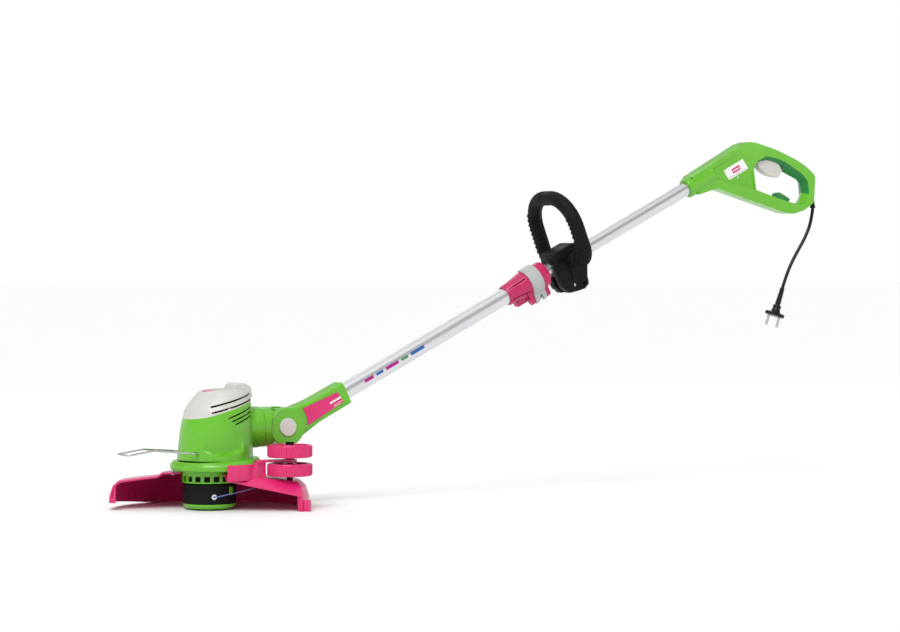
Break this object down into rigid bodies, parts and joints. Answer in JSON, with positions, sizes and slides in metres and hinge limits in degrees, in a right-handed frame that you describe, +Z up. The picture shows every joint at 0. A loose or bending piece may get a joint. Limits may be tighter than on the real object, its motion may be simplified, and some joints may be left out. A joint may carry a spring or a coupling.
{
  "type": "string trimmer",
  "caption": "Corded electric string trimmer: tilting and turning cutting head with hooded guard, telescopic shaft, front loop grip and D-shaped rear handle.",
  "frame": {"origin": "where the spool axis meets the ground, on the tap button's flat underside", "axes": "+X from the cutting head towards the rear handle, +Y to the far side, +Z up along the spool axis"},
  "size_m": [1.3457, 0.283, 0.6014],
  "materials": {
    "green_plastic": "lime green moulded plastic, satin gloss",
    "dark_green_plastic": "dark green moulded plastic",
    "pink_plastic": "bright pink moulded plastic, satin gloss",
    "silver_plastic": "warm light grey plastic",
    "grey_plastic": "mid grey plastic",
    "black_plastic": "black textured plastic",
    "black_rubber": "black flexible rubber",
    "tube_metal": "satin anodised tube",
    "steel": "plain steel",
    "lamination": "laminated motor steel",
    "copper": "enamelled copper windings",
    "nylon_line": "clear blue nylon line"
  },
  "bodies": {
    "upper_shaft": {"handle_left": "green_plastic", "handle_right": "green_plastic", "handle_screws": "steel", "switch_body": "black_plastic", "cord_hook": "dark_green_plastic", "trigger_spring": "steel", "upper_tube": "tube_metal", "guide_bush": "black_plastic", "shaft_lead": "black_rubber", "cord_gland": "black_rubber", "power_cord": "black_rubber", "plug_body": "black_plastic", "plug_pins": "steel"},
    "trigger": {"trigger": "silver_plastic"},
    "grip_clamp": {"clamp_saddle": "black_plastic", "clamp_bolt": "steel", "loop_screws": "black_plastic"},
    "clamp_knob": {"clamp_knob": "pink_plastic"},
    "loop_handle": {"loop_grip": "black_rubber"},
    "lower_shaft": {"lower_tube": "tube_metal", "coiled_lead": "black_rubber", "collar_clamp": "pink_plastic", "lever_pin": "steel", "arm_left": "green_plastic", "arm_right": "green_plastic", "arm_panels": "pink_plastic", "arm_screws": "steel", "tilt_pin": "steel"},
    "collar_lever": {"collar_lever": "grey_plastic"},
    "tilt_button": {"tilt_button": "silver_plastic"},
    "knuckle": {"knuckle": "green_plastic"},
    "head": {"motor_housing": "green_plastic", "top_cover": "silver_plastic", "base_ring": "green_plastic", "guard": "pink_plastic", "guard_screws": "steel", "line_cutter": "steel", "wheel_bracket": "pink_plastic", "wheel_axle": "black_plastic", "stator": "lamination", "field_coils": "copper", "motor_bridge": "black_plastic", "bearing_top": "steel", "bearing_bottom": "steel", "brushes": "black_plastic", "motor_lead": "black_rubber"},
    "wheel_lower": {"wheel_lower": "pink_plastic"},
    "wheel_upper": {"wheel_upper": "pink_plastic"},
    "wire_guard": {"wire_guard": "steel"},
    "cutting_head": {"rotor_shaft": "steel", "armature": "lamination", "commutator": "copper", "cooling_fan": "black_plastic", "line_drum": "black_plastic", "line_spool": "black_plastic", "spool_cover": "green_plastic", "line_eyelet": "steel", "cutting_line": "nylon_line", "tap_spring": "steel"},
    "tap_button": {"tap_button": "black_plastic"}
  },
  "joints": [
    {"name": "trigger_press", "type": "hinge", "parent": "upper_shaft", "child": "trigger", "pos_m": [1.06746, 0, 0.57261], "axis": [0, 1, 0], "range_deg": [-8, 0], "stiffness_Nm_per_rad": 0.6, "springref_deg": 3.44, "deforming": ["trigger_spring"]},
    {"name": "grip_slide", "type": "slide", "parent": "upper_shaft", "child": "grip_clamp", "axis": [0.8942, 0, 0.4478], "range_m": [0, 0.06]},
    {"name": "knob_turn", "type": "hinge", "parent": "grip_clamp", "child": "clamp_knob", "pos_m": [0.6727, 0.03, 0.35144], "axis": [0, 1, 0], "range_deg": [0, 360]},
    {"name": "grip_swing", "type": "hinge", "parent": "grip_clamp", "child": "loop_handle", "pos_m": [0.6691, 0, 0.39437], "axis": [0, 1, 0], "range_deg": [-40, 50]},
    {"name": "shaft_extend", "type": "slide", "parent": "upper_shaft", "child": "lower_shaft", "axis": [-0.8942, 0, -0.4478], "range_m": [-0.01, 0.18]},
    {"name": "collar_flip", "type": "hinge", "parent": "lower_shaft", "child": "collar_lever", "pos_m": [0.60876, -0.01, 0.32949], "axis": [0.8942, 0, 0.4478], "range_deg": [0, 110]},
    {"name": "tilt_press", "type": "slide", "parent": "lower_shaft", "child": "tilt_button", "axis": [0, 1, 0], "range_m": [0, 0.004], "stiffness_N_per_m": 800, "springref_m": -0.002},
    {"name": "head_tilt", "type": "hinge", "parent": "lower_shaft", "child": "knuckle", "pos_m": [0.125, 0, 0.1275], "axis": [0, 1, 0], "range_deg": [-45, 15]},
    {"name": "head_turn", "type": "hinge", "parent": "knuckle", "child": "head", "pos_m": [0.084, 0, 0.1275], "axis": [1, 0, 0], "range_deg": [0, 90]},
    {"name": "head_spin", "type": "hinge", "parent": "head", "child": "cutting_head", "pos_m": [0, 0, 0.025], "axis": [0, 0, 1], "continuous": true},
    {"name": "tap_press", "type": "slide", "parent": "cutting_head", "child": "tap_button", "axis": [0, 0, 1], "range_m": [0, 0.004], "stiffness_N_per_m": 900, "springref_m": -0.003, "deforming": ["tap_spring"]},
    {"name": "wheel_lower_spin", "type": "hinge", "parent": "head", "child": "wheel_lower", "pos_m": [0.103, -0.078, 0.064], "axis": [0, 0, 1], "continuous": true},
    {"name": "wheel_upper_spin", "type": "hinge", "parent": "head", "child": "wheel_upper", "pos_m": [0.103, -0.078, 0.0937], "axis": [0, 0, 1], "continuous": true},
    {"name": "wire_fold", "type": "hinge", "parent": "head", "child": "wire_guard", "pos_m": [-0.039, 0, 0.091], "axis": [0, 1, 0], "range_deg": [0, 75]}
  ]
}
